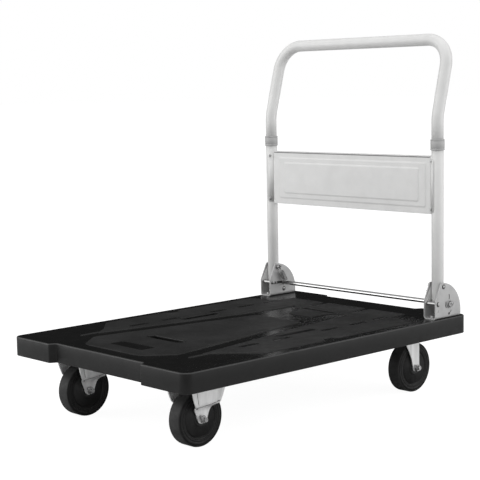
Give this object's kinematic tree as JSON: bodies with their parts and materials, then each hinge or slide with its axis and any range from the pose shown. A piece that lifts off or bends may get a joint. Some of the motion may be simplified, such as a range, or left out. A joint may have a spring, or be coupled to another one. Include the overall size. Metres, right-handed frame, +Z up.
{
  "type": "folding platform cart",
  "caption": "Flat moulded platform on two fixed and two swivel casters, with a tube push handle that folds down over the platform from sprung-bar hinges",
  "frame": {"origin": "bottom centre of the bounding box, on the floor under the middle of the platform", "axes": "+Z up; +Y along the platform towards the handle end; +X to the right side as seen by someone who stands behind the handle end looking at it from the front"},
  "size_m": [0.6, 0.9, 0.8593],
  "materials": {
    "deck_plastic": "moulded, matt raised areas and semi-gloss border",
    "tyre": "matt black",
    "hub": "satin black",
    "grey_paint": "satin light grey powder coat",
    "collar": "satin mid grey",
    "bright_steel": "bright drawn steel",
    "zinc": "bright zinc plate"
  },
  "bodies": {
    "base": {"bracket_bolt_left_1": "zinc", "bracket_bolt_left_2": "zinc", "bracket_bolt_right_1": "zinc", "bracket_bolt_right_2": "zinc", "deck": "deck_plastic", "front_left_axle": "zinc", "front_left_axle_nut": "zinc", "front_left_caster_bracket": "zinc", "front_right_axle": "zinc", "front_right_axle_nut": "zinc", "front_right_caster_bracket": "zinc", "hinge_bracket_left": "zinc", "hinge_bracket_right": "zinc", "pivot_bolt_left": "zinc", "pivot_bolt_right": "zinc", "pivot_nut_left": "zinc", "pivot_nut_right": "zinc", "rear_left_caster_plate": "zinc", "rear_right_caster_plate": "zinc", "return_spring_left": "bright_steel", "return_spring_right": "bright_steel", "stop_pin_left": "zinc", "stop_pin_right": "zinc"},
    "handle": {"back_panel": "grey_paint", "collar_left": "collar", "collar_right": "collar", "lower_tube_left": "grey_paint", "lower_tube_right": "grey_paint", "panel_screw_left_high": "zinc", "panel_screw_left_low": "zinc", "panel_screw_right_high": "zinc", "panel_screw_right_low": "zinc", "upper_handle": "grey_paint"},
    "release_bar": {"release_bar": "bright_steel", "release_bar_washer_left": "zinc", "release_bar_washer_right": "zinc"},
    "front_left_wheel": {"front_left_tyre": "tyre", "front_left_hub": "hub"},
    "rear_left_wheel": {"rear_left_tyre": "tyre", "rear_left_hub": "hub"},
    "rear_left_swivel": {"rear_left_caster_fork": "zinc", "rear_left_king_pin": "zinc", "rear_left_axle": "zinc", "rear_left_axle_nut": "zinc"},
    "front_right_wheel": {"front_right_tyre": "tyre", "front_right_hub": "hub"},
    "rear_right_wheel": {"rear_right_tyre": "tyre", "rear_right_hub": "hub"},
    "rear_right_swivel": {"rear_right_caster_fork": "zinc", "rear_right_king_pin": "zinc", "rear_right_axle": "zinc", "rear_right_axle_nut": "zinc"}
  },
  "joints": [
    {"name": "handle_fold", "type": "hinge", "parent": "base", "child": "handle", "pos_m": [0, 0.3645, 0.2625], "axis": [1, 0, 0], "range_deg": [0, 96]},
    {"name": "release_bar_slide", "type": "slide", "parent": "base", "child": "release_bar", "axis": [0, 1, 0], "range_m": [0, 0.01], "stiffness_N_per_m": 800, "springref_m": -0.01},
    {"name": "rear_left_swivel_turn", "type": "hinge", "parent": "base", "child": "rear_left_swivel", "pos_m": [-0.2015, 0.317, 0.145], "axis": [0, 0, 1], "continuous": true},
    {"name": "rear_left_wheel_spin", "type": "hinge", "parent": "rear_left_swivel", "child": "rear_left_wheel", "pos_m": [-0.2015, 0.35, 0.06], "axis": [1, 0, 0], "continuous": true},
    {"name": "front_left_wheel_spin", "type": "hinge", "parent": "base", "child": "front_left_wheel", "pos_m": [-0.1935, -0.3335, 0.06], "axis": [1, 0, 0], "continuous": true},
    {"name": "rear_right_swivel_turn", "type": "hinge", "parent": "base", "child": "rear_right_swivel", "pos_m": [0.2015, 0.317, 0.145], "axis": [0, 0, 1], "continuous": true},
    {"name": "rear_right_wheel_spin", "type": "hinge", "parent": "rear_right_swivel", "child": "rear_right_wheel", "pos_m": [0.2015, 0.35, 0.06], "axis": [1, 0, 0], "continuous": true},
    {"name": "front_right_wheel_spin", "type": "hinge", "parent": "base", "child": "front_right_wheel", "pos_m": [0.1935, -0.3335, 0.06], "axis": [1, 0, 0], "continuous": true}
  ]
}
